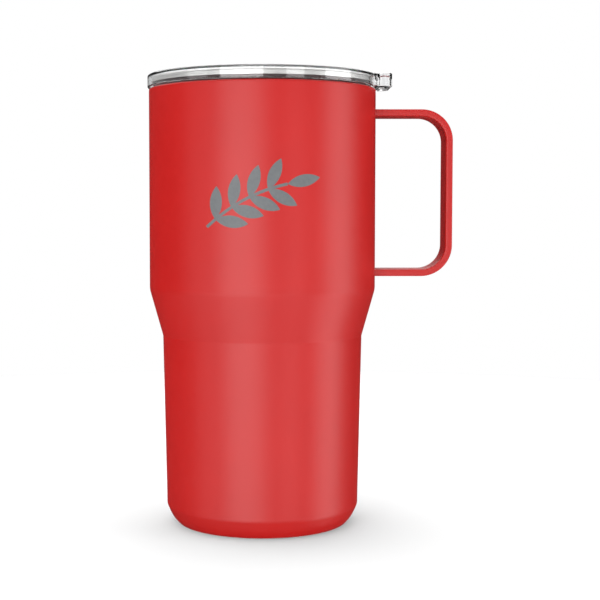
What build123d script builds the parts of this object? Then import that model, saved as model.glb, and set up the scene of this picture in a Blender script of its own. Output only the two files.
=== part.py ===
"""Insulated travel mug: a double-walled steel mug with a strap handle and a clear press-in lid.

Millimetres, +Z up. The origin is the middle of the foot ring, on the plane that the mug stands on.
The handle and the lid's thumb tab point along +X, and the etched mark faces -Y.
The mug is outer_shell, base_cup, base_cover, inner_vessel and handle, with the getter and the port seal
of its vacuum. The lid is lid_body with its gasket, two magnets and the caps that close their pockets.
The slider covers the drinking opening: a shell and a base plate joined around a magnet, and a soft seal.
"""

import math
import os

from build123d import *

os.makedirs("parts", exist_ok=True)

# --- outer wall ---
WALL = 0.6                   # steel sheet of the outer shell and the base cup
WELD_GAP = 0.05              # left open where two sheets are welded edge to edge
BARREL_R = 44.0              # straight upper barrel
SHOULDER_Z = 168.8           # top of the coated barrel
SHOULDER_RISE = 0.4
SHOULDER_BEND = 0.7
NECK_R = 42.25               # bare neck above the shoulder, tucked inside the rolled lip
NECK_BEND = 0.3
NECK_TOP_Z = 172.0
WAIST_TOP_Z = 91.5           # where the barrel starts to taper
WAIST_TOP_BEND = 20.0
WAIST_R = 38.9               # where the taper meets the slim lower barrel
WAIST_Z = 73.4
WAIST_BEND = 3.0
CREASE_R = 37.5              # where the shell meets the base cup
CREASE_Z = 7.1

# --- base cup, base cover, getter and port seal ---
BASE_KNEE_R = 35.25          # corner that the base curve rounds off
BASE_KNEE_Z = 2.1
BASE_CURVE = 13.0
BASE_TRIM_R = 0.225          # drawn this far past the crease on the same slope, then cut level
BASE_TRIM_Z = 0.5
FOOT_R = 32.9                # outer edge of the foot ring
FOOT_INNER_R = 30.2
FOOT_BEND = 0.7              # every small bend of the base cup
PANEL_R = 29.3               # raised panel inside the foot ring
PANEL_Z = 2.9
UPSTAND_R = 36.85            # welded inside the shell
UPSTAND_LOW_Z = 6.2
UPSTAND_TOP_Z = 10.0
DIMPLE_R = 5.5
DIMPLE_TOP_R = 4.4
DIMPLE_Z = 3.8
PORT_R = 1.0
SEAL_BEAD_R = 3.0
SEAL_BEAD_DROP = 0.7
SEAL_BEAD_BULGE = 0.175      # of the bead's arc, off the straight line from its middle to its edge
COVER_R = 29.0
COVER_Z = 1.4
COVER_T = 0.5
COVER_BEND = 0.8
COVER_RING_IN_R = 20.5       # pressed ring that stiffens the cover
COVER_RING_OUT_R = 23.5
COVER_RING_SLOPE = 0.75
COVER_RING_RISE = 0.45
GETTER_R = 5.0
GETTER_T = 1.6
GETTER_X = 16.0
GETTER_EDGE = 0.4

# --- inner vessel ---
LINER = 0.5                  # steel sheet of the inner vessel
BORE_R = 40.5                # upper bore, where the lid's gasket seals
MOUTH_R = 41.1
MOUTH_Z = 167.8
FLARE_Z = 164.0              # where the bore opens towards the mouth
FLARE_BEND = 4.0
LIP_R = 43.0                 # the lip is rolled outwards and down over the neck
LIP_Z = 173.1
LIP_LOW_Z = 170.8
LIP_BEND = 0.94
VESSEL_WAIST_TOP_Z = 90.4
VESSEL_WAIST_R = 35.4
VESSEL_WAIST_Z = 72.3
VESSEL_FLOOR_R = 34.2
VESSEL_FLOOR_Z = 9.0
VESSEL_CORNER = 7.0

# --- handle: one flat strap bent into a squared loop ---
STRAP_T = 2.7
STRAP_W = 16.0
STRAP_EDGE = 0.6
HANDLE_X = 71.95             # middle of the upright
HANDLE_TOP_Z = 159.55
HANDLE_LOW_Z = 98.1
HANDLE_BEND = 10.65
HANDLE_ROOT_X = 38.0         # the strap is drawn from here and trimmed to the barrel
TRIM_MARGIN = 20.0           # how far the trimming cylinder runs past the strap

# --- etched mark: a leafy sprig cut through the coating, on the front ---
MARK_DEPTH = 0.12
MARK_Z = 127.2
STEM_R = 60.0                # the stem is an arc about STEM_CENTRE, across and up from the mark's middle
STEM_CENTRE = (21.6, -54.4)
STEM_W = 1.1
STEM_START = 134.0           # degrees on that arc, from the cut end to the tip leaf
STEM_END = 102.0
LEAF_PAIRS_AT = (130.0, 123.0, 116.0, 109.0)
LEAF_SPLAY = 48.0
LEAF_LENGTH = 12.0
LEAF_HALF_W = 2.2

# --- lid ---
LID_R = 44.5
LID_TOP_Z = 174.1
LID_EDGE = 0.7
SKIRT_IN_R = 43.3
SKIRT_Z = 169.4
FLANGE_Z = 173.2             # underside of the flange, which comes down on the lip
LAND_R = 38.6                # inner edge of the rim's flat top
LAND_EDGE = 1.0
DECK_R = 36.9
DECK_Z = 167.6
DECK_T = 2.2
PLUG_R = 39.9
PLUG_IN_R = 37.9
PLUG_Z = 160.5
GROOVE_R = 38.9
GROOVE_LOW_Z = 162.4
GROOVE_TOP_Z = 165.9
TAB_X = 49.7                 # tip of the thumb tab
TAB_W = 22.8
TAB_CORNER = 3.4
TAB_ROOT = 4.0
TAB_LOW_Z = 169.4           # level with the skirt
TAB_TIP_Z = 174.7
TAB_INNER_R = 43.9           # the tab is joined into the skirt out to here
SIP_X = -28.5                # middle of the drinking opening
SIP_L = 7.5
SIP_W = 19.0
SIP_CORNER = 3.5
VENT_X = 28.0
VENT_R = 1.2
RAIL_Y = 13.7
RAIL_W = 1.4
RAIL_H = 1.6
RAIL_START_X = -30.0
RAIL_END_X = 6.3

# --- lid gasket ---
GASKET_PLAY = 0.05
GASKET_R = 39.6
FIN_R = 40.2
FIN_T = 0.7
FIN_EDGE = 0.23
FIN_AT = (163.4, 164.9)

# --- slider ---
TRAVEL = 14.0                # closed at rest, open after this travel along +X
SLIDER_Z = 167.9
SLIDER_TOP_Z = 171.6
SLIDER_BACK_X = -9.5
SLIDER_W = 25.2
SLIDER_FRONT_R = 35.9        # the front follows the deck's edge
SLIDER_CORNER = 3.0
SLIDER_EDGE = 0.8
SLIDER_WALL = 1.4
BASE_PLATE_T = 1.4
CAVITY_TOP_Z = 170.5
GRIP_X = -19.0
GRIP_L = 4.4
GRIP_W = 17.0
GRIP_CORNER = 1.5
GRIP_TOP_Z = 173.4
GRIP_EDGE = 1.0
PAD_L = 11.4                 # the soft seal is a ring around the drinking opening
PAD_W = 22.4
PAD_CORNER = 5.0
PAD_BAND = 1.4
PAD_LOW_Z = 167.7
PAD_TOP_Z = 168.7

# --- magnets: one in the slider, and one in the lid below each end of its travel ---
MAGNET_R = 4.0
MAGNET_T = 2.0
MAGNET_EDGE = 0.3
MAGNET_CLOSED_X = -15.2
POCKET_R = 4.1
POCKET_PLAY = 0.05
BOSS_R = 5.5
BOSS_LOW_Z = 163.4
POCKET_TOP_Z = 166.3
CAP_T = 0.8
SLIDER_MAGNET_Z = 168.5


def finish(part, name):
    """Labels one finished piece and writes it as parts/NAME.step."""
    part.label = name
    export_step(part, f"parts/{name}.step")


# ---------------------------------------------------------------- etched mark
def stem_point(angle):
    """A point of the sprig's stem, across and up, at an angle on the stem's arc."""
    across = STEM_CENTRE[0] + STEM_R * math.cos(math.radians(angle))
    up = STEM_CENTRE[1] + STEM_R * math.sin(math.radians(angle))
    return across, up + MARK_Z


with BuildSketch() as leaf:
    with BuildLine():
        ThreePointArc((0, 0), (LEAF_LENGTH / 2, LEAF_HALF_W), (LEAF_LENGTH, 0))
        ThreePointArc((0, 0), (LEAF_LENGTH / 2, -LEAF_HALF_W), (LEAF_LENGTH, 0))
    make_face()

leaf_places = [Location(stem_point(STEM_END), STEM_END - 90)]
for leaf_angle in LEAF_PAIRS_AT:
    for splay in (LEAF_SPLAY, -LEAF_SPLAY):
        leaf_places.append(Location(stem_point(leaf_angle), leaf_angle - 90 + splay))

with BuildPart() as mark_cutter:
    with BuildSketch(Plane.XZ.offset(BARREL_R / 2)):
        with BuildLine():
            CenterArc((STEM_CENTRE[0], STEM_CENTRE[1] + MARK_Z), STEM_R, STEM_START, STEM_END - STEM_START)
            offset(amount=STEM_W / 2)
        make_face()
        with Locations(*leaf_places):
            add(leaf.sketch)
    extrude(amount=BARREL_R)
    with BuildSketch(Plane.XY.offset(MARK_Z - BARREL_R)):
        Circle(BARREL_R - MARK_DEPTH)
    extrude(amount=2 * BARREL_R, mode=Mode.SUBTRACT)

# ---------------------------------------------------------------- double wall
with BuildPart() as outer_shell:
    with BuildSketch(Plane.XZ):
        with BuildLine():
            FilletPolyline(
                (NECK_R, NECK_TOP_Z),
                (NECK_R, SHOULDER_Z + SHOULDER_RISE),
                (BARREL_R, SHOULDER_Z),
                (BARREL_R, WAIST_TOP_Z),
                (WAIST_R, WAIST_Z),
                (CREASE_R, CREASE_Z),
                radius=[NECK_BEND, SHOULDER_BEND, WAIST_TOP_BEND, WAIST_BEND],
            )
            offset(amount=WALL, side=Side.RIGHT)
        make_face()
    revolve(axis=Axis.Z)
    add(mark_cutter.part, mode=Mode.SUBTRACT)
finish(outer_shell.part, "outer_shell")

vessel_bends = [VESSEL_CORNER, WAIST_BEND, WAIST_TOP_BEND, FLARE_BEND, FLARE_BEND, LIP_BEND, LIP_BEND]
with BuildPart() as inner_vessel:
    with BuildSketch(Plane.XZ):
        with BuildLine():
            FilletPolyline(
                (0, VESSEL_FLOOR_Z),
                (VESSEL_FLOOR_R, VESSEL_FLOOR_Z),
                (VESSEL_WAIST_R, VESSEL_WAIST_Z),
                (BORE_R, VESSEL_WAIST_TOP_Z),
                (BORE_R, FLARE_Z),
                (MOUTH_R, MOUTH_Z),
                (MOUTH_R, LIP_Z),
                (LIP_R, LIP_Z),
                (LIP_R, LIP_LOW_Z),
                radius=vessel_bends,
            )
            offset(amount=LINER, side=Side.RIGHT)
        make_face()
    revolve(axis=Axis.Z)
finish(inner_vessel.part, "inner_vessel")

with BuildPart() as base_cup:
    with BuildSketch(Plane.XZ):
        with BuildLine():
            FilletPolyline(
                (PORT_R, DIMPLE_Z),
                (DIMPLE_TOP_R, DIMPLE_Z),
                (DIMPLE_R, PANEL_Z),
                (PANEL_R, PANEL_Z),
                (FOOT_INNER_R, 0),
                (FOOT_R, 0),
                (BASE_KNEE_R, BASE_KNEE_Z),
                (CREASE_R + BASE_TRIM_R, CREASE_Z + BASE_TRIM_Z),
                radius=[FOOT_BEND, FOOT_BEND, FOOT_BEND, FOOT_BEND, FOOT_BEND, BASE_CURVE],
            )
            offset(amount=WALL, side=Side.LEFT)
        make_face()
    revolve(axis=Axis.Z)
    split(bisect_by=Plane.XY.offset(CREASE_Z - WELD_GAP), keep=Keep.BOTTOM)
    with BuildSketch(Plane.XY.offset(UPSTAND_LOW_Z)):
        Circle(UPSTAND_R)
        Circle(UPSTAND_R - WALL, mode=Mode.SUBTRACT)
    extrude(amount=UPSTAND_TOP_Z - UPSTAND_LOW_Z)
finish(base_cup.part, "base_cup")

with BuildPart() as port_seal:
    with BuildSketch(Plane.XZ):
        with BuildLine():
            bead_middle = (0, DIMPLE_Z - SEAL_BEAD_DROP)
            bead_edge = (SEAL_BEAD_R, DIMPLE_Z - WELD_GAP)
            Polyline(
                bead_edge,
                (PORT_R - WELD_GAP, DIMPLE_Z - WELD_GAP),
                (PORT_R - WELD_GAP, DIMPLE_Z + WALL),
                (0, DIMPLE_Z + WALL),
                bead_middle,
            )
            SagittaArc(bead_middle, bead_edge, -SEAL_BEAD_BULGE)
        make_face()
    revolve(axis=Axis.Z)
finish(port_seal.part, "port_seal")

with BuildPart() as base_cover:
    with BuildSketch(Plane.XZ):
        with BuildLine():
            FilletPolyline(
                (0, COVER_Z),
                (COVER_RING_IN_R, COVER_Z),
                (COVER_RING_IN_R + COVER_RING_SLOPE, COVER_Z + COVER_RING_RISE),
                (COVER_RING_OUT_R - COVER_RING_SLOPE, COVER_Z + COVER_RING_RISE),
                (COVER_RING_OUT_R, COVER_Z),
                (COVER_R, COVER_Z),
                (COVER_R, PANEL_Z - WELD_GAP),
                radius=COVER_BEND,
            )
            offset(amount=COVER_T, side=Side.LEFT)
        make_face()
    revolve(axis=Axis.Z)
finish(base_cover.part, "base_cover")

with BuildPart() as getter:
    with BuildSketch(Plane.XY.offset(PANEL_Z + WALL)):
        with Locations((GETTER_X, 0)):
            Circle(GETTER_R)
    extrude(amount=GETTER_T)
    fillet(getter.edges().group_by(Axis.Z)[-1], GETTER_EDGE)
finish(getter.part, "getter")

# ---------------------------------------------------------------- handle
with BuildPart() as handle:
    with BuildLine(Plane.XZ):
        FilletPolyline(
            (HANDLE_ROOT_X, HANDLE_TOP_Z),
            (HANDLE_X, HANDLE_TOP_Z),
            (HANDLE_X, HANDLE_LOW_Z),
            (HANDLE_ROOT_X, HANDLE_LOW_Z),
            radius=HANDLE_BEND,
        )
    with BuildSketch(Plane.YZ.offset(HANDLE_ROOT_X)):
        with Locations((0, HANDLE_TOP_Z)):
            RectangleRounded(STRAP_W, STRAP_T, STRAP_EDGE)
    sweep()
    with BuildSketch(Plane.XY.offset(HANDLE_LOW_Z - TRIM_MARGIN)):
        Circle(BARREL_R)
    extrude(amount=HANDLE_TOP_Z - HANDLE_LOW_Z + 2 * TRIM_MARGIN, mode=Mode.SUBTRACT)
finish(handle.part, "handle")

# ---------------------------------------------------------------- lid
with BuildPart() as lid_body:
    with BuildSketch(Plane.XZ):
        with BuildLine():
            Polyline(
                (0, DECK_Z),
                (DECK_R, DECK_Z),
                (LAND_R, LID_TOP_Z),
                (LID_R, LID_TOP_Z),
                (LID_R, SKIRT_Z),
                (SKIRT_IN_R, SKIRT_Z),
                (SKIRT_IN_R, FLANGE_Z),
                (PLUG_R, FLANGE_Z),
                (PLUG_R, GROOVE_TOP_Z),
                (GROOVE_R, GROOVE_TOP_Z),
                (GROOVE_R, GROOVE_LOW_Z),
                (PLUG_R, GROOVE_LOW_Z),
                (PLUG_R, PLUG_Z),
                (PLUG_IN_R, PLUG_Z),
                (PLUG_IN_R, DECK_Z - DECK_T),
                (0, DECK_Z - DECK_T),
                close=True,
            )
        make_face()
    revolve(axis=Axis.Z)
    top_edges = lid_body.edges().filter_by(GeomType.CIRCLE).group_by(Axis.Z)[-1]
    fillet(top_edges.sort_by(SortBy.RADIUS)[0], LAND_EDGE)
    top_edges = lid_body.edges().filter_by(GeomType.CIRCLE).group_by(Axis.Z)[-1]
    fillet(top_edges.sort_by(SortBy.RADIUS)[-1], LID_EDGE)

    # Thumb tab, blended into the skirt and ramped up a little towards its tip.
    with BuildSketch(Plane.XY.offset(TAB_LOW_Z)) as tab_outline:
        Circle(LID_R)
        with Locations((TAB_X - LID_R / 2, 0)):
            Rectangle(LID_R, TAB_W)
        fillet(tab_outline.vertices().group_by(Axis.X)[-1], TAB_CORNER)
        fillet(tab_outline.vertices().filter_by(lambda v: 0 < v.X < LID_R), TAB_ROOT)
        Circle(TAB_INNER_R, mode=Mode.SUBTRACT)
    extrude(amount=TAB_TIP_Z - TAB_LOW_Z)
    with BuildSketch(Plane.XZ):
        with BuildLine():
            Polyline(
                (-TAB_X, LID_TOP_Z),
                (LID_R, LID_TOP_Z),
                (TAB_X, TAB_TIP_Z),
                (TAB_X, 2 * TAB_TIP_Z - LID_TOP_Z),
                (-TAB_X, 2 * TAB_TIP_Z - LID_TOP_Z),
                close=True,
            )
        make_face()
    extrude(amount=TAB_X, both=True, mode=Mode.SUBTRACT)

    # Drinking opening, vent, and the rails and stop that guide the slider.
    with BuildSketch(Plane.XY.offset(DECK_Z)):
        with Locations((SIP_X, 0)):
            RectangleRounded(SIP_L, SIP_W, SIP_CORNER)
        with Locations((VENT_X, 0)):
            Circle(VENT_R)
    extrude(amount=-DECK_T, mode=Mode.SUBTRACT)
    with BuildSketch(Plane.XY.offset(DECK_Z)):
        with Locations(((RAIL_START_X + RAIL_END_X) / 2, RAIL_Y), ((RAIL_START_X + RAIL_END_X) / 2, -RAIL_Y)):
            Rectangle(RAIL_END_X - RAIL_START_X, RAIL_W)
        with Locations((RAIL_END_X - RAIL_W / 2, 0)):
            Rectangle(RAIL_W, 2 * RAIL_Y)
    extrude(amount=RAIL_H)

    # Magnet pockets, open below.
    with BuildSketch(Plane.XY.offset(DECK_Z - DECK_T)):
        with Locations((MAGNET_CLOSED_X, 0), (MAGNET_CLOSED_X + TRAVEL, 0)):
            Circle(BOSS_R)
    extrude(amount=BOSS_LOW_Z - DECK_Z + DECK_T)
    with BuildSketch(Plane.XY.offset(BOSS_LOW_Z)):
        with Locations((MAGNET_CLOSED_X, 0), (MAGNET_CLOSED_X + TRAVEL, 0)):
            Circle(POCKET_R)
    extrude(amount=POCKET_TOP_Z - BOSS_LOW_Z, mode=Mode.SUBTRACT)
finish(lid_body.part, "lid_body")

with BuildPart() as lid_gasket:
    with BuildSketch(Plane.XZ):
        gasket_foot = GROOVE_LOW_Z + GASKET_PLAY
        gasket_in = GROOVE_R + GASKET_PLAY
        with Locations((gasket_in, gasket_foot)):
            Rectangle(
                GASKET_R - gasket_in,
                GROOVE_TOP_Z - GROOVE_LOW_Z - 2 * GASKET_PLAY,
                align=(Align.MIN, Align.MIN),
            )
        with Locations(*[(gasket_in, fin_z) for fin_z in FIN_AT]):
            Rectangle(FIN_R - gasket_in, FIN_T, align=(Align.MIN, Align.CENTER))
    revolve(axis=Axis.Z)
    fin_edges = lid_gasket.edges().filter_by(GeomType.CIRCLE).group_by(SortBy.RADIUS)[-1]
    fillet(fin_edges, FIN_EDGE)
finish(lid_gasket.part, "lid_gasket")


def magnet(x, low_z, name):
    """A disc magnet with softened edges."""
    with BuildPart() as disc:
        with BuildSketch(Plane.XY.offset(low_z)):
            with Locations((x, 0)):
                Circle(MAGNET_R)
        extrude(amount=MAGNET_T)
        fillet(disc.edges().filter_by(GeomType.CIRCLE), MAGNET_EDGE)
    finish(disc.part, name)


def magnet_cap(x, name):
    """The plug that closes a magnet pocket from below."""
    with BuildPart() as cap:
        with BuildSketch(Plane.XY.offset(BOSS_LOW_Z)):
            with Locations((x, 0)):
                Circle(POCKET_R - POCKET_PLAY)
        extrude(amount=CAP_T)
    finish(cap.part, name)


LID_MAGNET_Z = POCKET_TOP_Z - POCKET_PLAY - MAGNET_T
magnet(MAGNET_CLOSED_X, LID_MAGNET_Z, "lid_magnet_closed")
magnet(MAGNET_CLOSED_X + TRAVEL, LID_MAGNET_Z, "lid_magnet_open")
magnet_cap(MAGNET_CLOSED_X, "magnet_cap_closed")
magnet_cap(MAGNET_CLOSED_X + TRAVEL, "magnet_cap_open")

# ---------------------------------------------------------------- slider
with BuildSketch() as slider_outline:
    Circle(SLIDER_FRONT_R)
    Rectangle(2 * SLIDER_FRONT_R, SLIDER_W, mode=Mode.INTERSECT)
    with Locations((SLIDER_BACK_X, 0)):
        Rectangle(2 * SLIDER_FRONT_R, SLIDER_W, align=(Align.MAX, Align.CENTER), mode=Mode.INTERSECT)
    fillet(slider_outline.vertices(), SLIDER_CORNER)

with BuildPart() as slider_base:
    with BuildSketch(Plane.XY.offset(SLIDER_Z)):
        add(slider_outline.sketch)
    extrude(amount=BASE_PLATE_T)
    with BuildSketch(Plane.XY.offset(SLIDER_Z)):
        with Locations((SIP_X, 0)):
            RectangleRounded(PAD_L, PAD_W, PAD_CORNER)
            offset(amount=-PAD_BAND, mode=Mode.SUBTRACT)
    extrude(amount=PAD_TOP_Z + POCKET_PLAY - SLIDER_Z, mode=Mode.SUBTRACT)
    with BuildSketch(Plane.XY.offset(SLIDER_MAGNET_Z - POCKET_PLAY)):
        with Locations((MAGNET_CLOSED_X, 0)):
            Circle(POCKET_R)
    extrude(amount=BASE_PLATE_T, mode=Mode.SUBTRACT)
finish(slider_base.part, "slider_base")

with BuildPart() as slider_seal:
    with BuildSketch(Plane.XY.offset(PAD_LOW_Z)):
        with Locations((SIP_X, 0)):
            RectangleRounded(PAD_L, PAD_W, PAD_CORNER)
            offset(amount=-PAD_BAND, mode=Mode.SUBTRACT)
    extrude(amount=PAD_TOP_Z - PAD_LOW_Z)
finish(slider_seal.part, "slider_seal")

with BuildPart() as slider_shell:
    with BuildSketch(Plane.XY.offset(SLIDER_Z + BASE_PLATE_T)):
        add(slider_outline.sketch)
    extrude(amount=SLIDER_TOP_Z - SLIDER_Z - BASE_PLATE_T)
    fillet(slider_shell.edges().group_by(Axis.Z)[-1], SLIDER_EDGE)
    with BuildSketch(Plane.XY.offset(SLIDER_TOP_Z)):
        with Locations((GRIP_X, 0)):
            RectangleRounded(GRIP_L, GRIP_W, GRIP_CORNER)
    extrude(amount=GRIP_TOP_Z - SLIDER_TOP_Z)
    fillet(slider_shell.edges().group_by(Axis.Z)[-1], GRIP_EDGE)
    with BuildSketch(Plane.XY.offset(SLIDER_Z + BASE_PLATE_T)):
        add(slider_outline.sketch)
        offset(amount=-SLIDER_WALL, mode=Mode.REPLACE)
    extrude(amount=CAVITY_TOP_Z - SLIDER_Z - BASE_PLATE_T, mode=Mode.SUBTRACT)
finish(slider_shell.part, "slider_shell")

magnet(MAGNET_CLOSED_X, SLIDER_MAGNET_Z, "slider_magnet")
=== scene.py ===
import math

import bmesh
import bpy
from mathutils import Matrix, Vector


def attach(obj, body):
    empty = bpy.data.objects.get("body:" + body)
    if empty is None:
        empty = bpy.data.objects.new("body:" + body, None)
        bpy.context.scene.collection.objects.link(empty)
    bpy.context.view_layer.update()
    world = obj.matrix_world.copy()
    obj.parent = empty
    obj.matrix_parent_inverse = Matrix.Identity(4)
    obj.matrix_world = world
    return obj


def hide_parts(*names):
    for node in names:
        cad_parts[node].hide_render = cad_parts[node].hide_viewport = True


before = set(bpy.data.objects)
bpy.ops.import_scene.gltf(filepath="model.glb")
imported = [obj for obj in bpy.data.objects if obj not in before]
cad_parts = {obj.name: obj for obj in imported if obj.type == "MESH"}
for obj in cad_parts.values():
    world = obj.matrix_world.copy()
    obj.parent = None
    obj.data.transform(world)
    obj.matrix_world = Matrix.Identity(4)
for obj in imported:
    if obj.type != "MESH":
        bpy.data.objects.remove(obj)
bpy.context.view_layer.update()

MM = 0.001
ROUND = 288                  # segments around the mug
LID_ROUND = 240              # segments around the lid
SMALL_ROUND = 192            # segments around the base cover and the gasket
ARC_STEPS = 10               # segments along each rounded corner of an outline
SHARP_ANGLE = math.radians(32)
SAME_POINT = 1e-5            # points closer than this are one point
SAME_POINT_WHEN_CUT = 1e-4   # the same, after solids were combined
LEAST_LEAN = 0.5             # keeps the offset of a very sharp corner short
OVERLAP = 0.5                # how deep a joined piece starts inside the one it joins
MARGIN = 1.0                 # how far a cutter runs past the piece it cuts

# --- outer wall, as in the CAD, but for two bends ---
WALL = 0.6
WELD_GAP = 0.05
BARREL_R = 44.0
SHOULDER_Z = 168.8
SHOULDER_RISE = 0.4
SHOULDER_BEND = 0.7
NECK_R = 42.25
NECK_BEND = 0.3
NECK_TOP_Z = 172.0
# Above BARE_Z the neck's steel is coloured dark and reddish: painted shade under the lid's rim and a painted
# reflection of the red shoulder.
BARE_Z = 169.15              # faces with their middle above this are bare steel
WAIST_TOP_Z = 91.5
WAIST_TOP_BEND = 9.0         # tighter than in the CAD, so that the edge catches the light
WAIST = (38.9, 73.4)         # where the taper meets the slim lower barrel
WAIST_BEND = 3.0
CREASE_R = 37.5
CREASE_Z = 7.1
CREASE_BEND = 4.0            # softens the crease between the shell and the base cup, sharp in the CAD

# --- base cup, its cover and the vacuum parts ---
BASE_KNEE = (35.25, 2.1)     # corner that the base curve rounds off
BASE_CURVE = 13.0
FOOT_R = 32.9
FOOT_EDGE = 0.6
FOOT_INNER_R = 30.2
FOOT_BEND = 0.7
PANEL_R = 29.3
PANEL_Z = 2.9
DIMPLE_R = 5.5
DIMPLE_TOP_R = 4.4
DIMPLE_Z = 3.8
PORT_R = 1.0
UPSTAND_R = 36.85            # stands inside the shell
UPSTAND_LOW_Z = 6.4
UPSTAND_TOP_Z = 10.0
INSIDE_TOP_Z = 6.2           # the cup's inner face is drawn up to here, just under the upstand
COVER_R = 29.0
COVER_Z = 1.4
COVER_TOP_Z = 2.85
COVER_T = 0.5
COVER_BEND = 0.8
COVER_RING_IN_R = 20.5       # pressed ring that stiffens the cover
COVER_RING_OUT_R = 23.5
COVER_RING_SLOPE = 0.75
COVER_RING_RISE = 0.45
GETTER_X = 16.0
GETTER_R = 5.0
GETTER_T = 1.6
GETTER_LOW_EDGE = 0.2
GETTER_EDGE = 0.4
SEAL_BEAD_R = 3.0
SEAL_BEAD_UNDER = ((2.4, 3.42), (1.3, 3.17), (0, 3.1))    # radius and height, edge to middle

# --- inner vessel ---
LINER = 0.5
LIP_R = 43.0
LIP_Z = 173.1
LIP_LOW_Z = 170.8
LIP_BEND = 0.94
MOUTH_R = 41.1
MOUTH_Z = 167.8
BORE_R = 40.5
FLARE_Z = 164.0              # where the bore opens towards the mouth
FLARE_BEND = 4.0
VESSEL_WAIST_TOP_Z = 90.4
VESSEL_WAIST_TOP_BEND = 20.0
VESSEL_WAIST = (35.4, 72.3)
VESSEL_FLOOR = (34.2, 9.0)
VESSEL_CORNER = 7.0

# --- handle ---
HANDLE_X = 71.95             # middle of the upright
HANDLE_TOP_Z = 159.55
HANDLE_LOW_Z = 98.1
HANDLE_BEND = 10.65
HANDLE_STEPS = 24            # segments along each bend
STRAP_W = 16.0
STRAP_T = 2.7
STRAP_EDGE = 0.6

# --- etched mark ---
MARK_Z = 127.2
MARK_PROUD = 0.03
MARK_SUNK = 0.25
STEM_R = 60.0                # the stem is an arc about STEM_CENTRE, across and up from the mark's middle
STEM_CENTRE = (21.6, -54.4)
STEM_W = 1.1
STEM_START = 134.0           # degrees on that arc, from the cut end to the tip leaf
STEM_END = 102.0
STEM_STEPS = 48
LEAF_PAIRS_AT = (130.0, 123.0, 116.0, 109.0)
LEAF_SPLAY = 48.0
LEAF_LENGTH = 12.0
LEAF_HALF_W = 2.2
LEAF_BLUNT = 0.002           # share of a leaf's length left off at each point
LEAF_STEPS = 28

# --- lid ---
LID_R = 44.5
LID_TOP_Z = 174.1
LID_EDGE = 0.7
SKIRT_IN_R = 43.3
SKIRT_Z = 169.4
SKIRT_EDGE = 0.3
FLANGE_Z = 173.2             # underside of the flange, which comes down on the lip
LAND_R = 38.6                # inner edge of the rim's flat top
LAND_EDGE = 1.0
DECK_R = 36.9
DECK_BEND = 1.2
DECK_Z = 167.6
DECK_T = 2.2
PLUG_R = 39.9
PLUG_IN_R = 37.9
PLUG_Z = 160.5
PLUG_EDGE = 0.4
GROOVE_R = 38.9
GROOVE_LOW_Z = 162.4
GROOVE_TOP_Z = 165.9
LID_STEPS = 6                # segments along each bend of the lid
TAB_X = 49.7                 # tip of the thumb tab
TAB_W = 22.8
TAB_CORNER = 3.4
TAB_ROOT = 4.0
TAB_INNER_R = 41.0
TAB_STEPS = 24               # segments along its inner end
TAB_LOW_Z = 169.4
TAB_TIP_Z = 174.7
TAB_LOW_EDGE = 0.25
TAB_EDGE = 0.6
TAB_RISING = 1.0             # only this much of the tab's height, at its top, rises towards the tip
TAB_SINK = 0.06              # how deep the tab is let into the skirt and the flange
CHANNEL_R = 30.0             # the space cleared behind the skirt starts here
CHANNEL_Z = 165.0
SIP_X = -28.5
SIP_L = 7.5
SIP_W = 19.0
SIP_CORNER = 3.5
VENT_X = 28.0
VENT_R = 1.2
THROUGH_DECK = (164.0, 170.0)    # heights of a cutter that goes through the deck
RAIL_Y = 13.7
RAIL_W = 1.4
RAIL_H = 1.6
RAIL_CORNER = 0.5
RAIL_EDGE = 0.3
RAIL_START_X = -30.0
RAIL_END_X = 6.3
RAIL_STEPS = 4
STOP_DROP = 0.02             # the stop bar's top lies this far below the rails' tops

# --- gasket around the lid's plug ---
GASKET_PLAY = 0.05
GASKET_R = 39.6
GASKET_EDGE = 0.15
GASKET_BEND = 0.1
FIN_AT = (163.4, 164.9)
FIN_R = 40.2
FIN_T = 0.7
FIN_BEND = 0.2
FIN_TIP_LOW = 0.25           # how far the fin's tip reaches below its middle
FIN_TIP_TOP = 0.3            # and how far above it

# --- magnets, under the deck and in the slider ---
TRAVEL = 14.0                # of the slider, from closed to open
MAGNETS = {"closed": -15.2, "open": -15.2 + TRAVEL}    # x of each magnet under the deck
MAGNET_R = 4.0
MAGNET_T = 2.0
MAGNET_EDGE = 0.3
BOSS_R = 5.5
BOSS_LOW_Z = 163.4
BOSS_EDGE = 0.2
POCKET_R = 4.1
POCKET_TOP_Z = 166.3
POCKET_PLAY = 0.05
CAP_T = 0.8
CAP_EDGE = 0.15
SLIDER_POCKET_Z = 168.4

# --- slider ---
SLIDER_Z = 167.9
SLIDER_SPLIT_Z = 169.3       # where its two halves meet
SLIDER_TOP_Z = 171.6
SLIDER_BACK_X = -9.5
SLIDER_W = 25.2
SLIDER_FRONT_R = 35.9
SLIDER_FRONT_STEPS = 16
SLIDER_CORNER = 3.0
CORNER_SPAN = math.radians(4.5)    # of the front's arc, given up to each rounded corner
SLIDER_LOW_EDGE = 0.3
SLIDER_EDGE = 0.8
SLIDER_WALL = 1.4
CAVITY_TOP_Z = 170.5
GRIP_X = -19.0
GRIP_L = 4.4
GRIP_W = 17.0
GRIP_CORNER = 1.5
GRIP_TOP_Z = 173.4
GRIP_EDGE = 1.0
PAD_L = 11.4                 # the soft seal is a ring around the drinking opening
PAD_W = 22.4
PAD_CORNER = 5.0
PAD_BAND = 1.4
PAD_LOW_Z = 167.7
PAD_TOP_Z = 168.7
PAD_EDGE = 0.25
PAD_GROOVE_TOP_Z = 168.8
PAD_CORE_TOP_Z = 169.0

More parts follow.
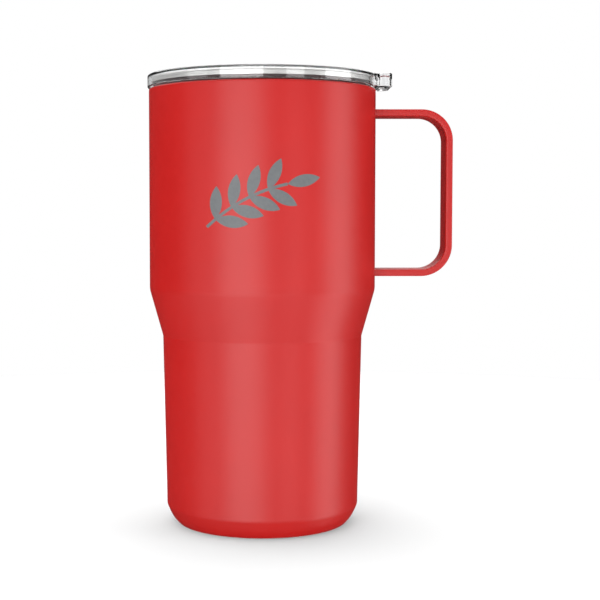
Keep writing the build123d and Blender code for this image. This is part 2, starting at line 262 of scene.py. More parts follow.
# --- camera, light and floor, with lengths in metres ---
CAMERA_AT = (0.0, -0.52775, 0.1205)
CAMERA_PITCH = 3.632         # degrees down
CAMERA_LENS = 80.74          # millimetres, like the width of the sensor
CAMERA_SHIFT = 0.0628
SENSOR_W = 36.0
LIT_HEIGHT = 0.09            # the lights are aimed at this height on the mug's axis
AMBIENT = 0.03
STEEP_GREY = 0.12            # brightness of the surroundings high up and low down, through clear plastic
STEEP_START = 0.15           # sine of the angle above or below the horizon
STEEP_END = 0.55
FLOOR_R = 0.5


# ================================================================ outlines
def arc_through(before, corner, after, bend, steps=ARC_STEPS):
    """Points of the arc of radius bend that rounds a corner between its two neighbours."""
    corner = Vector(corner)
    to_before = (Vector(before) - corner).normalized()
    to_after = (Vector(after) - corner).normalized()
    half = to_before.angle(to_after) / 2
    centre = corner + (to_before + to_after).normalized() * (bend / math.sin(half))
    start = corner + to_before * (bend / math.tan(half)) - centre
    end = corner + to_after * (bend / math.tan(half)) - centre
    first = math.atan2(start.y, start.x)
    turn = math.atan2(end.y, end.x) - first
    turn = (turn + math.pi) % (2 * math.pi) - math.pi
    angles = [first + turn * step / steps for step in range(steps + 1)]
    return [(centre.x + bend * math.cos(a), centre.y + bend * math.sin(a)) for a in angles]


def rounded(corners, closed=True, steps=ARC_STEPS):
    """An outline through (x, y, bend) corners. A bend of 0 leaves its corner sharp."""
    outline = []
    count = len(corners)
    for i, (x, y, bend) in enumerate(corners):
        at_end = not closed and i in (0, count - 1)
        if bend == 0 or at_end:
            outline.append((x, y))
        else:
            before = corners[i - 1][:2]
            after = corners[(i + 1) % count][:2]
            outline += arc_through(before, (x, y), after, bend, steps)
    return outline


def rounded_box(length, width, bend, x=0.0, y=0.0, steps=ARC_STEPS):
    """A rectangle about (x, y) with rounded corners, anticlockwise."""
    a, b = length / 2, width / 2
    corners = [(x + a, y + b, bend), (x - a, y + b, bend), (x - a, y - b, bend), (x + a, y - b, bend)]
    return rounded(corners, steps=steps)


def circle(radius, x=0.0, y=0.0, count=64):
    """A circle about (x, y), anticlockwise."""
    turns = [2 * math.pi * i / count for i in range(count)]
    return [(x + radius * math.cos(t), y + radius * math.sin(t)) for t in turns]


# ================================================================ meshes
def mesh_object(name, bm):
    """A new object from a bmesh, smooth except across sharp edges."""
    bmesh.ops.remove_doubles(bm, verts=bm.verts, dist=SAME_POINT)
    bmesh.ops.recalc_face_normals(bm, faces=bm.faces)
    for face in bm.faces:
        face.smooth = True
    for edge in bm.edges:
        edge.smooth = edge.is_manifold and edge.calc_face_angle() < SHARP_ANGLE
    mesh = bpy.data.meshes.new(name)
    bm.to_mesh(mesh)
    bm.free()
    obj = bpy.data.objects.new(name, mesh)
    bpy.context.scene.collection.objects.link(obj)
    return obj


def lathe(name, outline, count=ROUND):
    """A solid of revolution about Z. The outline is closed, or starts and ends on the axis."""
    bm = bmesh.new()
    turns = [2 * math.pi * i / count for i in range(count)]
    rings = []
    for r, z in outline:
        if abs(r) < SAME_POINT:
            rings.append([bm.verts.new((0, 0, z))])
        else:
            rings.append([bm.verts.new((r * math.cos(t), r * math.sin(t), z)) for t in turns])
    pairs = list(zip(rings, rings[1:] + rings[:1]))
    for low, high in pairs:
        if len(low) == 1 and len(high) == 1:
            continue
        for i in range(count):
            j = (i + 1) % count
            corners = [low[i % len(low)], low[j % len(low)], high[j % len(high)], high[i % len(high)]]
            bm.faces.new(list(dict.fromkeys(corners)))
    return mesh_object(name, bm)


def stack(name, layers):
    """A closed solid through layers of (outline, z), each outline with the same number of points."""
    bm = bmesh.new()
    rings = [[bm.verts.new((x, y, z)) for x, y in outline] for outline, z in layers]
    for low, high in zip(rings, rings[1:]):
        for i in range(len(low)):
            j = (i + 1) % len(low)
            bm.faces.new((low[i], low[j], high[j], high[i]))
    bm.faces.new(rings[0][::-1])
    bm.faces.new(rings[-1])
    return mesh_object(name, bm)


def inset(outline, amount):
    """The outline moved inwards by amount, for an anticlockwise outline."""
    moved = []
    count = len(outline)
    for i, point in enumerate(outline):
        before = Vector(point) - Vector(outline[i - 1])
        after = Vector(outline[(i + 1) % count]) - Vector(point)
        along = (before.normalized() + after.normalized()).normalized()
        lean = max(LEAST_LEAN, along.dot(before.normalized()))
        moved.append((point[0] - along.y * amount / lean, point[1] + along.x * amount / lean))
    return moved


def slab(name, outline, low, high, edge_low=0.0, edge_high=0.0, steps=4):
    """A flat piece between two heights, with its lower and upper edges rounded."""
    layers = []
    if edge_low:
        for step in range(steps):
            turn = math.pi / 2 * step / steps
            rise = low + edge_low * (1 - math.cos(turn))
            layers.append((inset(outline, edge_low * (1 - math.sin(turn))), rise))
    layers.append((outline, low + edge_low))
    layers.append((outline, high - edge_high))
    if edge_high:
        for step in range(1, steps + 1):
            turn = math.pi / 2 * step / steps
            rise = high - edge_high * (1 - math.sin(turn))
            layers.append((inset(outline, edge_high * (1 - math.cos(turn))), rise))
    return stack(name, layers)


def block(name, outline, low, high):
    """A flat piece between two heights, with square edges."""
    return stack(name, [(outline, low), (outline, high)])


def combine(target, tool, how):
    """Joins, cuts or intersects target with tool, and removes the tool."""
    change = target.modifiers.new("combine", "BOOLEAN")
    change.object = tool
    change.operation = how
    change.solver = "EXACT"
    graph = bpy.context.evaluated_depsgraph_get()
    result = bpy.data.meshes.new_from_object(target.evaluated_get(graph))
    target.modifiers.clear()
    target.data = result
    bpy.data.objects.remove(tool)


def crisp(obj):
    """Marks sharp edges again after solids were combined, and evens the shading of flat faces."""
    bm = bmesh.new()
    bm.from_mesh(obj.data)
    bmesh.ops.remove_doubles(bm, verts=bm.verts, dist=SAME_POINT_WHEN_CUT)
    for face in bm.faces:
        face.smooth = True
    for edge in bm.edges:
        edge.smooth = edge.is_manifold and edge.calc_face_angle() < SHARP_ANGLE
    bm.to_mesh(obj.data)
    bm.free()
    even = obj.modifiers.new("even_shading", "WEIGHTED_NORMAL")
    even.keep_sharp = True


def place(obj, body, look, cad_node=None):
    """Brings a piece to metres, gives it its material and lets it ride on its body."""
    obj.data.transform(Matrix.Scale(MM, 4))
    obj.data.materials.clear()
    obj.data.materials.append(look)
    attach(obj, body)
    obj.visible_diffuse = look is not RED    # no red cast on the pale floor
    if cad_node:
        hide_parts(cad_node)


# ================================================================ materials
def material(name, **values):
    """A new node material and its Principled shader, with fixed values set on the shader's sockets."""
    made = bpy.data.materials.new(name)
    made.use_nodes = True
    shader = made.node_tree.nodes["Principled BSDF"]
    for socket, value in values.items():
        shader.inputs[socket.replace("_", " ")].default_value = value
    return made, shader


def node(made, kind, inputs=None, **settings):
    """A node in a material or the world, with its settings and its inputs linked or set."""
    new = made.node_tree.nodes.new(kind)
    for key, value in settings.items():
        setattr(new, key, value)
    for key, value in (inputs or {}).items():
        if isinstance(value, bpy.types.NodeSocket):
            made.node_tree.links.new(value, new.inputs[key])
        else:
            new.inputs[key].default_value = value
    return new


def place_scaled(made, scale):
    """The object's own coordinates in metres, scaled along each axis."""
    coordinates = node(made, "ShaderNodeTexCoord")
    mapping = node(made, "ShaderNodeMapping", {"Vector": coordinates.outputs["Object"], "Scale": scale})
    return mapping.outputs["Vector"]


def noise(made, vector, scale, detail=3.0, roughness=0.5):
    """A noise value from 0 to 1."""
    inputs = {"Vector": vector, "Scale": scale, "Detail": detail, "Roughness": roughness}
    return node(made, "ShaderNodeTexNoise", inputs).outputs["Fac"]


def spread(made, value, low, high, start=0.3, end=0.7):
    """A value from start to end spread over low to high."""
    inputs = {"Value": value, "From Min": start, "From Max": end, "To Min": low, "To Max": high}
    return node(made, "ShaderNodeMapRange", inputs).outputs["Result"]


def blend_colours(made, factor, first, second):
    """A colour between two others."""
    mix = node(made, "ShaderNodeMix", {"Factor": factor}, data_type="RGBA")
    mix.inputs["A"].default_value = (*first, 1.0)
    mix.inputs["B"].default_value = (*second, 1.0)
    return mix.outputs["Result"]


def bump(made, height, strength, distance, normal=None):
    """A bump from a height value; distance in metres."""
    inputs = {"Height": height, "Strength": strength, "Distance": distance}
    if normal is not None:
        inputs["Normal"] = normal
    return node(made, "ShaderNodeBump", inputs).outputs["Normal"]


def feed(made, shader, **outputs):
    """Links values to the shader's sockets."""
    for socket, output in outputs.items():
        made.node_tree.links.new(output, shader.inputs[socket.replace("_", " ")])


def powder_coat():
    """Satin red powder coat: fine orange peel, a finer grain and faint cloudiness."""
    made, shader = material("red_powder_coat", Specular_IOR_Level=0.5)
    here = place_scaled(made, (1, 1, 1))
    cloud = noise(made, here, 45.0, 2.0)
    grain = noise(made, here, 5200.0, 2.0)
    colour = blend_colours(made, spread(made, cloud, 0, 1), (0.420, 0.0030, 0.0020), (0.440, 0.0038, 0.0026))
    peel = bump(made, noise(made, here, 1300.0, 2.0), 0.25, 0.00005)
    skin = bump(made, grain, 0.35, 0.00003, peel)
    feed(
        made,
        shader,
        Base_Color=colour,
        Roughness=spread(made, grain, 0.37, 0.46),
        Normal=skin,
    )
    return made


def etched_steel():
    """Steel where the laser has burned the coating off: flat grey with fine scan lines."""
    made, shader = material("etched_steel", Metallic=0.35, Specular_IOR_Level=0.4)
    across = place_scaled(made, (1, 1, 1))
    lines = node(
        made,
        "ShaderNodeTexWave",
        {"Vector": across, "Scale": 2600.0, "Distortion": 0.4, "Detail": 1.0},
        bands_direction="Z",
    ).outputs["Fac"]
    mottle = noise(made, across, 900.0, 3.0)
    colour = blend_colours(made, spread(made, mottle, 0, 1), (0.135, 0.143, 0.149), (0.160, 0.168, 0.174))
    feed(
        made,
        shader,
        Base_Color=colour,
        Roughness=spread(made, mottle, 0.5, 0.62),
        Normal=bump(made, lines, 0.3, 0.00003),
    )
    return made


def turned_steel(name, colour, low, high, ring_scale):
    """Steel brushed around the mug's axis: fine rings in height, with a cloudy roughness."""
    made, shader = material(name, Metallic=1.0)
    rings = place_scaled(made, (20, 20, ring_scale))
    scratches = noise(made, rings, 1.0, 6.0, 0.7)
    cloud = noise(made, place_scaled(made, (1, 1, 1)), 60.0, 3.0)
    darker = tuple(c * 0.86 for c in colour)
    feed(
        made,
        shader,
        Base_Color=blend_colours(made, spread(made, scratches, 0, 1), darker, colour),
        Roughness=spread(made, cloud, low, high),
        Normal=bump(made, scratches, 0.12, 0.00004),
    )
    return made


def brushed_floor_steel():
    """The base cover's steel: brushed in circles about the axis."""
    made, shader = material("cover_steel", Metallic=1.0)
    coordinates = node(made, "ShaderNodeTexCoord").outputs["Object"]
    circles = node(
        made,
        "ShaderNodeTexWave",
        {"Vector": coordinates, "Scale": 900.0, "Distortion": 1.5, "Detail": 3.0, "Detail Scale": 2.0},
        wave_type="RINGS",
        rings_direction="Z",
    ).outputs["Fac"]
    cloud = noise(made, coordinates, 80.0, 3.0)
    feed(
        made,
        shader,
        Base_Color=blend_colours(made, circles, (0.50, 0.49, 0.48), (0.62, 0.61, 0.60)),
        Roughness=spread(made, cloud, 0.26, 0.38),
        Normal=bump(made, circles, 0.15, 0.00003),
    )
    return made


def clear_plastic(name, colour, roughness_low, roughness_high):
    """Clear moulded plastic: faint flow marks in its polish, and a tint in its depth."""
    made, shader = material(name, Transmission_Weight=1.0, IOR=1.5, Specular_IOR_Level=0.5)
    here = place_scaled(made, (1, 1, 1))
    flow = noise(made, here, 60.0, 1.0)
    haze = noise(made, here, 2200.0, 2.0)
    darker = tuple(c * 0.97 for c in colour)
    feed(
        made,
        shader,
        Base_Color=blend_colours(made, spread(made, flow, 0, 1), darker, colour),
        Roughness=spread(made, haze, roughness_low, roughness_high),
    )
    return made


def silicone():
    """Milky silicone with a fine matte skin."""
    made, shader = material(
        "clear_silicone", Transmission_Weight=0.35, IOR=1.41, Subsurface_Weight=0.3, Subsurface_Scale=0.002
    )
    here = place_scaled(made, (1, 1, 1))
    skin = noise(made, here, 3000.0, 2.0)
    cloud = noise(made, here, 120.0, 2.0)
    feed(
        made,
        shader,
        Base_Color=blend_colours(made, spread(made, cloud, 0, 1), (0.80, 0.80, 0.78), (0.88, 0.88, 0.86)),
        Roughness=spread(made, skin, 0.42, 0.55),
        Normal=bump(made, skin, 0.2, 0.00002),
    )
    return made


def plated(name, colour, low, high):
    """Plated or dull metal with faint cloudiness and fine scratches."""
    made, shader = material(name, Metallic=1.0)
    here = place_scaled(made, (1, 1, 1))
    cloud = noise(made, here, 300.0, 3.0)
    scratches = noise(made, place_scaled(made, (3000, 200, 200)), 1.0, 4.0)
    darker = tuple(c * 0.85 for c in colour)
    feed(
        made,
        shader,
        Base_Color=blend_colours(made, spread(made, cloud, 0, 1), darker, colour),
        Roughness=spread(made, cloud, low, high),
        Normal=bump(made, scratches, 0.08, 0.00002),
    )
    return made


def glass_bead():
    """Dark solder glass with small bubbles."""
    made, shader = material("glass_bead", Roughness=0.12, IOR=1.6)
    here = place_scaled(made, (1, 1, 1))
    bubbles = node(made, "ShaderNodeTexVoronoi", {"Vector": here, "Scale": 2500.0}).outputs["Distance"]
    depth = spread(made, bubbles, 0, 1, 0.0, 0.6)
    colour = blend_colours(made, depth, (0.10, 0.13, 0.12), (0.03, 0.045, 0.04))
    feed(made, shader, Base_Color=colour, Normal=bump(made, bubbles, 0.1, 0.00005))
    return made


RED = powder_coat()
ETCHED = etched_steel()
LIP_STEEL = turned_steel("vessel_steel", (0.76, 0.75, 0.73), 0.34, 0.44, 4000)
# Neck steel, dark and reddish: painted shade under the lid's rim and a painted reflection of the red
# shoulder, not the steel's own colour.
NECK_STEEL_PAINTED_SHADE = turned_steel("neck_steel_painted_shade", (0.085, 0.055, 0.055), 0.40, 0.50, 4000)
COVER_STEEL = brushed_floor_steel()
CLEAR = clear_plastic("clear_plastic", (0.86, 0.865, 0.87), 0.0, 0.02)
SMOKE = clear_plastic("smoke_plastic", (0.42, 0.43, 0.45), 0.03, 0.07)
SILICONE = silicone()
NICKEL = plated("magnet_nickel", (0.70, 0.68, 0.63), 0.18, 0.30)
GETTER_STEEL = plated("getter_steel", (0.34, 0.33, 0.32), 0.40, 0.55)
GLASS_BEAD = glass_bead()


# ================================================================ the mug
def thick(line, thickness):
    """A closed outline from an open line, made thick on its left."""
    back = []
    for i, point in enumerate(line):
        before = Vector(point) - Vector(line[max(i - 1, 0)])
        after = Vector(line[min(i + 1, len(line) - 1)]) - Vector(point)
        along = (before.normalized() + after.normalized()).normalized()
        lean = max(LEAST_LEAN, along.dot((after if after.length else before).normalized()))
        back.append((point[0] - along.y * thickness / lean, point[1] + along.x * thickness / lean))
    return line + back[::-1]


def crease():
    """The rounded crease, from the base cup up to the shell; the pieces meet at its middle point."""
    return arc_through(BASE_KNEE, (CREASE_R, CREASE_Z), WAIST, CREASE_BEND)


def make_outer_shell():
    """The coated wall from the crease up to the shoulder, and the bare neck above it, whose dark reddish
    steel is painted shade under the lid's rim and a painted reflection of the red shoulder.
    """
    line = crease()[ARC_STEPS // 2:] + rounded(
        [
            (CREASE_R, CREASE_Z, 0),
            (*WAIST, WAIST_BEND),
            (BARREL_R, WAIST_TOP_Z, WAIST_TOP_BEND),
            (BARREL_R, SHOULDER_Z, SHOULDER_BEND),
            (NECK_R, SHOULDER_Z + SHOULDER_RISE, NECK_BEND),
            (NECK_R, NECK_TOP_Z, 0),
        ],
        closed=False,
    )[1:]
    shell = lathe("outer_shell_coated", thick(line, WALL))
    bare = [face for face in shell.data.polygons if face.center.z > BARE_Z]
    place(shell, "mug", RED, "outer_shell")
    # The neck's second material is painted shade and a painted reflection of the red shoulder.
    shell.data.materials.append(NECK_STEEL_PAINTED_SHADE)
    for face in bare:
        face.material_index = 1


def make_inner_vessel():
    """The steel vessel, from its rolled lip down the bore to the floor."""
    line = rounded(
        [
            (LIP_R, LIP_LOW_Z, 0),
            (LIP_R, LIP_Z, LIP_BEND),
            (MOUTH_R, LIP_Z, LIP_BEND),
            (MOUTH_R, MOUTH_Z, FLARE_BEND),
            (BORE_R, FLARE_Z, FLARE_BEND),
            (BORE_R, VESSEL_WAIST_TOP_Z, VESSEL_WAIST_TOP_BEND),
            (*VESSEL_WAIST, WAIST_BEND),
            (*VESSEL_FLOOR, VESSEL_CORNER),
            (0, VESSEL_FLOOR[1], 0),
        ],
        closed=False,
    )
    vessel = lathe("inner_vessel_brushed", thick(line, LINER))
    place(vessel, "mug", LIP_STEEL, "inner_vessel")


def make_base_cup():
    """The coated cup, from its evacuation port out over the foot ring and up to the crease."""
    line = rounded(
        [
            (PORT_R, DIMPLE_Z, 0),
            (DIMPLE_TOP_R, DIMPLE_Z, FOOT_BEND),
            (DIMPLE_R, PANEL_Z, FOOT_BEND),
            (PANEL_R, PANEL_Z, FOOT_BEND),
            (FOOT_INNER_R, 0, FOOT_BEND),
            (FOOT_R, 0, FOOT_EDGE),
            (*BASE_KNEE, BASE_CURVE),
            (CREASE_R, CREASE_Z, 0),
        ],
        closed=False,
    )[:-1] + crease()[:ARC_STEPS // 2 + 1]
    upstand = [
        (UPSTAND_R, CREASE_Z - WELD_GAP),
        (UPSTAND_R, UPSTAND_TOP_Z),
        (UPSTAND_R - WALL, UPSTAND_TOP_Z),
        (UPSTAND_R - WALL, UPSTAND_LOW_Z),
    ]
    inside = [point for point in thick(line, WALL)[len(line):] if point[1] < INSIDE_TOP_Z]
    cup = lathe("base_cup_coated", line + upstand + inside)
    place(cup, "mug", RED, "base_cup")


def make_base_cover():
    """The thin cover inside the foot ring, with its pressed ring and turned-up edge."""
    ring_z = COVER_Z + COVER_RING_RISE
    line = rounded(
        [
            (0, COVER_Z, 0),
            (COVER_RING_IN_R, COVER_Z, COVER_BEND),
            (COVER_RING_IN_R + COVER_RING_SLOPE, ring_z, COVER_BEND),
            (COVER_RING_OUT_R - COVER_RING_SLOPE, ring_z, COVER_BEND),
            (COVER_RING_OUT_R, COVER_Z, COVER_BEND),
            (COVER_R, COVER_Z, COVER_BEND),
            (COVER_R, COVER_TOP_Z, 0),
        ],
        closed=False,
        steps=5,
    )
    cover = lathe("base_cover_brushed", thick(line, COVER_T), SMALL_ROUND)
    place(cover, "mug", COVER_STEEL, "base_cover")


def make_handle():
    """The flat strap, swept along its loop, with both ends saddled onto the barrel."""
    path = rounded(
        [
            (BARREL_R, HANDLE_TOP_Z, 0),
            (HANDLE_X, HANDLE_TOP_Z, HANDLE_BEND),
            (HANDLE_X, HANDLE_LOW_Z, HANDLE_BEND),
            (BARREL_R, HANDLE_LOW_Z, 0),
        ],
        closed=False,
        steps=HANDLE_STEPS,
    )
    section = rounded_box(STRAP_W, STRAP_T, STRAP_EDGE, steps=6)
    bm = bmesh.new()
    rings = []
    for i, (x, z) in enumerate(path):
        ahead = Vector(path[min(i + 1, len(path) - 1)]) - Vector(path[max(i - 1, 0)])
        ahead.normalize()
        out_x, out_z = -ahead.y, ahead.x
        ring = []
        for y, rise in section:
            at_wall = i in (0, len(path) - 1)
            here_x = math.sqrt((BARREL_R - WALL / 2) ** 2 - y * y) if at_wall else x + out_x * rise
            ring.append(bm.verts.new((here_x, y, z + out_z * rise)))
        rings.append(ring)
    for low, high in zip(rings, rings[1:]):
        for i in range(len(section)):
            j = (i + 1) % len(section)
            bm.faces.new((low[i], low[j], high[j], high[i]))
    bm.faces.new(rings[0][::-1])
    bm.faces.new(rings[-1])
    place(mesh_object("handle_coated", bm), "mug", RED, "handle")


def on_barrel(across, up, radius):
    """A point of the mark, pushed straight back onto a cylinder about the mug's axis."""
    return (across, -math.sqrt(radius * radius - across * across), MARK_Z + up)


def inlay(bm, left, right, strips=5):
    """A thin plate let into the barrel between two edges, each a list of points of the mark."""
    rows = []
    for a, b in zip(left, right):
        shares = [step / strips for step in range(strips + 1)]
        row = [(a[0] + (b[0] - a[0]) * s, a[1] + (b[1] - a[1]) * s) for s in shares]
        outer = [bm.verts.new(on_barrel(u, v, BARREL_R + MARK_PROUD)) for u, v in row]
        inner = [bm.verts.new(on_barrel(u, v, BARREL_R - MARK_SUNK)) for u, v in row]
        rows.append(outer + inner[::-1])
    for low, high in zip(rows, rows[1:]):
        for i in range(len(low)):
            j = (i + 1) % len(low)
            bm.faces.new((low[i], low[j], high[j], high[i]))
    bm.faces.new(rows[0][::-1])
    bm.faces.new(rows[-1])


def on_stem(radius, degrees):
    """A point about the stem's centre, across and up from the mark's middle."""
    turn = math.radians(degrees)
    return Vector(STEM_CENTRE) + radius * Vector((math.cos(turn), math.sin(turn)))


def make_mark():
    """A leafy sprig: a curved stem, pairs of leaves along it and one leaf at its tip."""
    bm = bmesh.new()
    angles = [STEM_START + (STEM_END - STEM_START) * i / STEM_STEPS for i in range(STEM_STEPS + 1)]
    edges = [[on_stem(STEM_R + half, angle) for angle in angles] for half in (STEM_W / 2, -STEM_W / 2)]
    inlay(bm, *edges, strips=2)

    leaves = [(STEM_END, 0.0)]
    leaves += [(angle, side * LEAF_SPLAY) for angle in LEAF_PAIRS_AT for side in (1, -1)]
    leaf_curve = (LEAF_HALF_W ** 2 + (LEAF_LENGTH / 2) ** 2) / (2 * LEAF_HALF_W)
    for angle, splay in leaves:
        root = on_stem(STEM_R, angle)
        turn = math.radians(angle - 90 + splay)
        along = Vector((math.cos(turn), math.sin(turn)))
        over = Vector((-along.y, along.x))
        left, right = [], []
        for i in range(LEAF_STEPS + 1):
            run = LEAF_LENGTH * (LEAF_BLUNT + (1 - 2 * LEAF_BLUNT) * i / LEAF_STEPS)
            half = math.sqrt(leaf_curve ** 2 - (run - LEAF_LENGTH / 2) ** 2) - leaf_curve + LEAF_HALF_W
            left.append(root + along * run + over * half)
            right.append(root + along * run - over * half)
        inlay(bm, left, right)
    mark = mesh_object("etched_mark", bm)
    place(mark, "mug", ETCHED)


def make_vacuum_parts():
    """The getter and the seal of the evacuation port, hidden between the base cup and its cover."""
    getter_z = PANEL_Z + WALL
    pill = circle(GETTER_R, GETTER_X)
    getter = slab("getter_pill", pill, getter_z, getter_z + GETTER_T, GETTER_LOW_EDGE, GETTER_EDGE)
    place(getter, "mug", GETTER_STEEL, "getter")

    stem_r = PORT_R - WELD_GAP
    stem_top_z = DIMPLE_Z + WALL
    bead_z = DIMPLE_Z - WELD_GAP
    bead = [(0, stem_top_z), (stem_r, stem_top_z), (stem_r, bead_z), (SEAL_BEAD_R, bead_z), *SEAL_BEAD_UNDER]
    place(lathe("port_seal_bead", bead, 48), "mug", GLASS_BEAD, "port_seal")


# ================================================================ the lid
def tab_outline():
    """The thumb tab from above, from a circle inside the rim out to its tip."""
    blend_y = TAB_W / 2 + TAB_ROOT
    blend_x = math.sqrt((LID_R + TAB_ROOT) ** 2 - blend_y ** 2)
    leave = math.atan2(blend_y, blend_x)
    blend = []
    for step in range(ARC_STEPS + 1):
        turn = math.pi + leave + (math.pi / 2 - leave) * step / ARC_STEPS
        blend.append((blend_x + TAB_ROOT * math.cos(turn), blend_y + TAB_ROOT * math.sin(turn)))
    corner = arc_through((blend_x, TAB_W / 2), (TAB_X, TAB_W / 2), (TAB_X, 0), TAB_CORNER)
    upper = blend + corner
    lower = [(x, -y) for x, y in reversed(upper)]
    inner = []
    for step in range(TAB_STEPS + 1):
        turn = leave - 2 * leave * step / TAB_STEPS
        inner.append((TAB_INNER_R * math.cos(turn), TAB_INNER_R * math.sin(turn)))
    return (upper + lower + inner[::-1])[::-1]


def lid_outline():
    """Half of the lid's section: deck, rim, skirt, plug with the gasket's groove, and back under the deck."""
    return rounded(
        [
            (0, DECK_Z, 0),
            (DECK_R, DECK_Z, DECK_BEND),
            (LAND_R, LID_TOP_Z, LAND_EDGE),
            (LID_R, LID_TOP_Z, LID_EDGE),
            (LID_R, SKIRT_Z, SKIRT_EDGE),
            (SKIRT_IN_R, SKIRT_Z, SKIRT_EDGE),
            (SKIRT_IN_R, FLANGE_Z, SKIRT_EDGE),
            (PLUG_R, FLANGE_Z, SKIRT_EDGE),
            (PLUG_R, GROOVE_TOP_Z, 0),
            (GROOVE_R, GROOVE_TOP_Z, 0),
            (GROOVE_R, GROOVE_LOW_Z, 0),
            (PLUG_R, GROOVE_LOW_Z, 0),
            (PLUG_R, PLUG_Z, PLUG_EDGE),
            (PLUG_IN_R, PLUG_Z, PLUG_EDGE),
            (PLUG_IN_R, DECK_Z - DECK_T, PLUG_EDGE),
            (0, DECK_Z - DECK_T, 0),
        ],
        closed=False,
        steps=LID_STEPS,
    )


def add_tab(lid):
    """Joins the thumb tab to the rim, and keeps the space behind the skirt clear of it."""
    tab = slab("tab", tab_outline(), TAB_LOW_Z, LID_TOP_Z, TAB_LOW_EDGE, TAB_EDGE)
    for vertex in tab.data.vertices:
        if vertex.co.z > LID_TOP_Z - TAB_RISING:
            share = max(0.0, vertex.co.x - TAB_INNER_R) / (TAB_X - TAB_INNER_R)
            vertex.co.z += (TAB_TIP_Z - LID_TOP_Z) * share
    out_r = SKIRT_IN_R + TAB_SINK
    top_z = FLANGE_Z + TAB_SINK
    section = [(CHANNEL_R, CHANNEL_Z), (out_r, CHANNEL_Z), (out_r, top_z), (CHANNEL_R, top_z)]
    combine(tab, lathe("channel", section, LID_ROUND), "DIFFERENCE")
    combine(lid, tab, "UNION")


def add_rails(lid):
    """Joins the slider's two rails and its stop bar to the deck."""
    rail_x = (RAIL_START_X + RAIL_END_X) / 2
    for side in (1, -1):
        length = RAIL_END_X - RAIL_START_X
        footprint = rounded_box(length, RAIL_W, RAIL_CORNER, rail_x, side * RAIL_Y, RAIL_STEPS)
        combine(lid, slab("rail", footprint, DECK_Z - OVERLAP, DECK_Z + RAIL_H, 0, RAIL_EDGE), "UNION")
    footprint = rounded_box(RAIL_W, 2 * RAIL_Y, RAIL_CORNER, RAIL_END_X - RAIL_W / 2, 0, RAIL_STEPS)
    stop_z = DECK_Z + RAIL_H - STOP_DROP
    combine(lid, slab("stop", footprint, DECK_Z - OVERLAP, stop_z, 0, RAIL_EDGE - STOP_DROP), "UNION")


def make_lid_body():
    lid = lathe("lid_body_clear", lid_outline(), LID_ROUND)
    add_tab(lid)
    combine(lid, block("sip", rounded_box(SIP_L, SIP_W, SIP_CORNER, SIP_X), *THROUGH_DECK), "DIFFERENCE")
    combine(lid, block("vent", circle(VENT_R, VENT_X, count=32), *THROUGH_DECK), "DIFFERENCE")
    add_rails(lid)
    for x in MAGNETS.values():
        combine(lid, slab("boss", circle(BOSS_R, x), BOSS_LOW_Z, DECK_Z - 2 * OVERLAP, BOSS_EDGE, 0), "UNION")
        combine(lid, block("pocket", circle(POCKET_R, x), BOSS_LOW_Z - MARGIN, POCKET_TOP_Z), "DIFFERENCE")
    crisp(lid)
    place(lid, "lid", CLEAR, "lid_body")


def make_lid_gasket():
    """The silicone ring in the plug's groove, with two fins."""
    back_r = GROOVE_R + GASKET_PLAY
    low_z = GROOVE_LOW_Z + GASKET_PLAY
    top_z = GROOVE_TOP_Z - GASKET_PLAY
    corners = [(back_r, low_z, GASKET_BEND), (GASKET_R, low_z, GASKET_EDGE)]
    for z in FIN_AT:
        corners += [
            (GASKET_R, z - FIN_T / 2, GASKET_BEND),
            (FIN_R, z - FIN_TIP_LOW, FIN_BEND),
            (FIN_R, z + FIN_TIP_TOP, FIN_BEND),
            (GASKET_R, z + FIN_T / 2, GASKET_BEND),
        ]
    corners += [(GASKET_R, top_z, GASKET_EDGE), (back_r, top_z, GASKET_BEND)]
    gasket = lathe("lid_gasket_silicone", rounded(corners, steps=4), SMALL_ROUND)
    place(gasket, "lid", SILICONE, "lid_gasket")


def magnet(name, x, low_z):
    """One plated disc magnet."""
    return slab(name, circle(MAGNET_R, x), low_z, low_z + MAGNET_T, MAGNET_EDGE, MAGNET_EDGE)


def make_lid_magnets():
    """The two magnets under the deck, each behind its own clear cap."""
    for name, x in MAGNETS.items():
        disc = magnet("lid_magnet_" + name + "_plated", x, POCKET_TOP_Z - POCKET_PLAY - MAGNET_T)
        place(disc, "lid", NICKEL, "lid_magnet_" + name)
        plug = circle(POCKET_R - POCKET_PLAY, x)
        cap = slab("magnet_cap_" + name + "_clear", plug, BOSS_LOW_Z, BOSS_LOW_Z + CAP_T, CAP_EDGE, 0)
        place(cap, "lid", CLEAR, "magnet_cap_" + name)


# ================================================================ the slider
def slider_outline():
    """The slider from above: square at the back, and following the deck's edge at the front."""
    half = SLIDER_W / 2
    corner = math.asin(half / SLIDER_FRONT_R)
    first = corner - CORNER_SPAN
    front = []
    for step in range(SLIDER_FRONT_STEPS + 1):
        turn = math.pi - first + 2 * first * step / SLIDER_FRONT_STEPS
        front.append((SLIDER_FRONT_R * math.cos(turn), SLIDER_FRONT_R * math.sin(turn), 0))
    corner_x = -SLIDER_FRONT_R * math.cos(corner)
    corners = [(SLIDER_BACK_X, half, SLIDER_CORNER), (corner_x, half, SLIDER_CORNER)]
    corners += front
    corners += [(corner_x, -half, SLIDER_CORNER), (SLIDER_BACK_X, -half, SLIDER_CORNER)]
    return rounded(corners)


def make_slider_base(outline, pad, pad_hole):
    """The lower half, with the seal's groove under it and the magnet's pocket in it."""
    base = slab("slider_base_smoke", outline, SLIDER_Z, SLIDER_SPLIT_Z, SLIDER_LOW_EDGE, 0)
    groove = block("groove", pad, SLIDER_Z - MARGIN, PAD_GROOVE_TOP_Z)
    core = block("core", pad_hole, SLIDER_Z - 2 * MARGIN, PAD_CORE_TOP_Z)
    combine(groove, core, "DIFFERENCE")
    combine(base, groove, "DIFFERENCE")
    pocket = block("pocket", circle(POCKET_R, MAGNETS["closed"]), SLIDER_POCKET_Z, SLIDER_SPLIT_Z + MARGIN)
    combine(base, pocket, "DIFFERENCE")
    crisp(base)
    place(base, "slider", SMOKE, "slider_base")


